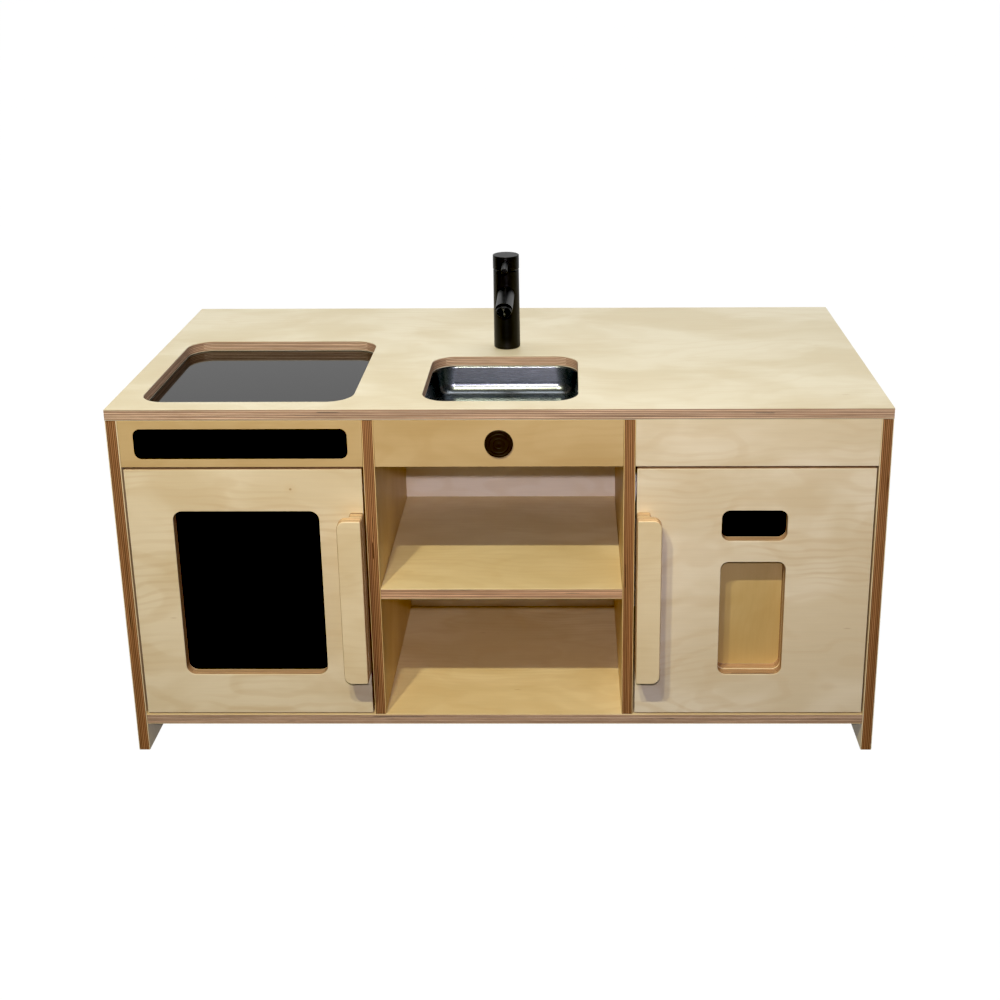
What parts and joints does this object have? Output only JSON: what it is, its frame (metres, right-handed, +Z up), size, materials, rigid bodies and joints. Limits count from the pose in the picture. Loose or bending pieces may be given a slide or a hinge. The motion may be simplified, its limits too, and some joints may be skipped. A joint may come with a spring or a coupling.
{
  "type": "toy kitchen",
  "caption": "Birch plywood play kitchen with a hob, a sink and mixer tap, an oven door, a fridge door with a dispenser recess, and open shelves.",
  "frame": {"origin": "on the floor, at the middle of the width and of the whole depth, handles included", "axes": "+X to the fridge side (right when facing the doors), +Y from the doors towards the back, +Z up"},
  "size_m": [1.2, 0.636, 0.7535],
  "materials": {
    "birch_ply": "clear satin lacquer on pale birch veneer, with layered plywood edges",
    "black_acrylic": "glossy black acrylic sheet",
    "stainless_steel": "pressed stainless steel, satin",
    "black_coating": "matt black coating on brass",
    "plated_steel": "nickel and zinc plated steel",
    "black_rubber": "black rubber",
    "dark_leather": "dark brown pressed leather",
    "white_plastic": "off-white moulded plastic"
  },
  "bodies": {
    "cabinet": {"back_panel": "birch_ply", "badge": "dark_leather", "bottom_panel": "birch_ply", "centre_apron": "birch_ply", "centre_shelf": "birch_ply", "control_strip": "black_acrylic", "fridge_catch": "white_plastic", "fridge_hinge_arm_lower": "plated_steel", "fridge_hinge_arm_upper": "plated_steel", "hob_panel": "black_acrylic", "left_apron": "birch_ply", "left_divider": "birch_ply", "left_side_panel": "birch_ply", "oven_catch": "white_plastic", "oven_hinge_arm_lower": "plated_steel", "oven_hinge_arm_upper": "plated_steel", "right_apron": "birch_ply", "right_divider": "birch_ply", "right_side_panel": "birch_ply", "sink_bowl": "stainless_steel", "sink_clip_left_front": "plated_steel", "sink_clip_left_rear": "plated_steel", "sink_clip_right_front": "plated_steel", "sink_clip_right_rear": "plated_steel", "tap_aerator": "black_coating", "tap_base_seal": "black_rubber", "tap_body": "black_coating", "tap_gasket": "black_rubber", "tap_nut": "plated_steel", "tap_spout": "black_coating", "tap_stud": "plated_steel", "tap_washer": "plated_steel", "worktop": "birch_ply", "worktop_bracket_left_front": "plated_steel", "worktop_bracket_left_rear": "plated_steel", "worktop_bracket_right_front": "plated_steel", "worktop_bracket_right_rear": "plated_steel"},
    "oven_door": {"oven_door": "birch_ply", "oven_window": "black_acrylic", "oven_handle_grip": "birch_ply", "oven_handle_spacer": "birch_ply", "oven_handle_screw_lower": "plated_steel", "oven_handle_screw_upper": "plated_steel", "oven_hinge_cup_lower": "plated_steel", "oven_hinge_cup_upper": "plated_steel", "oven_strike_plate": "plated_steel"},
    "fridge_door": {"fridge_door": "birch_ply", "slot_panel": "black_acrylic", "recess_frame": "birch_ply", "recess_back": "birch_ply", "fridge_handle_grip": "birch_ply", "fridge_handle_spacer": "birch_ply", "fridge_handle_screw_lower": "plated_steel", "fridge_handle_screw_upper": "plated_steel", "fridge_hinge_cup_lower": "plated_steel", "fridge_hinge_cup_upper": "plated_steel", "fridge_strike_plate": "plated_steel"},
    "tap_turn": {"tap_stem": "plated_steel"},
    "tap_handle": {"tap_cap": "black_coating", "tap_lever": "black_coating"}
  },
  "joints": [
    {"name": "oven_door_hinge", "type": "hinge", "parent": "cabinet", "child": "oven_door", "pos_m": [-0.579, -0.282, 0.2805], "axis": [0, 0, -1], "range_deg": [0, 110]},
    {"name": "fridge_door_hinge", "type": "hinge", "parent": "cabinet", "child": "fridge_door", "pos_m": [0.579, -0.282, 0.2805], "axis": [0, 0, 1], "range_deg": [0, 110]},
    {"name": "tap_turn", "type": "hinge", "parent": "cabinet", "child": "tap_turn", "pos_m": [0, 0.055, 0.7275], "axis": [0, 0, 1], "range_deg": [-50, 50]},
    {"name": "tap_lift", "type": "hinge", "parent": "tap_turn", "child": "tap_handle", "pos_m": [0, 0.055, 0.7295], "axis": [-1, 0, 0], "range_deg": [0, 12]}
  ]
}
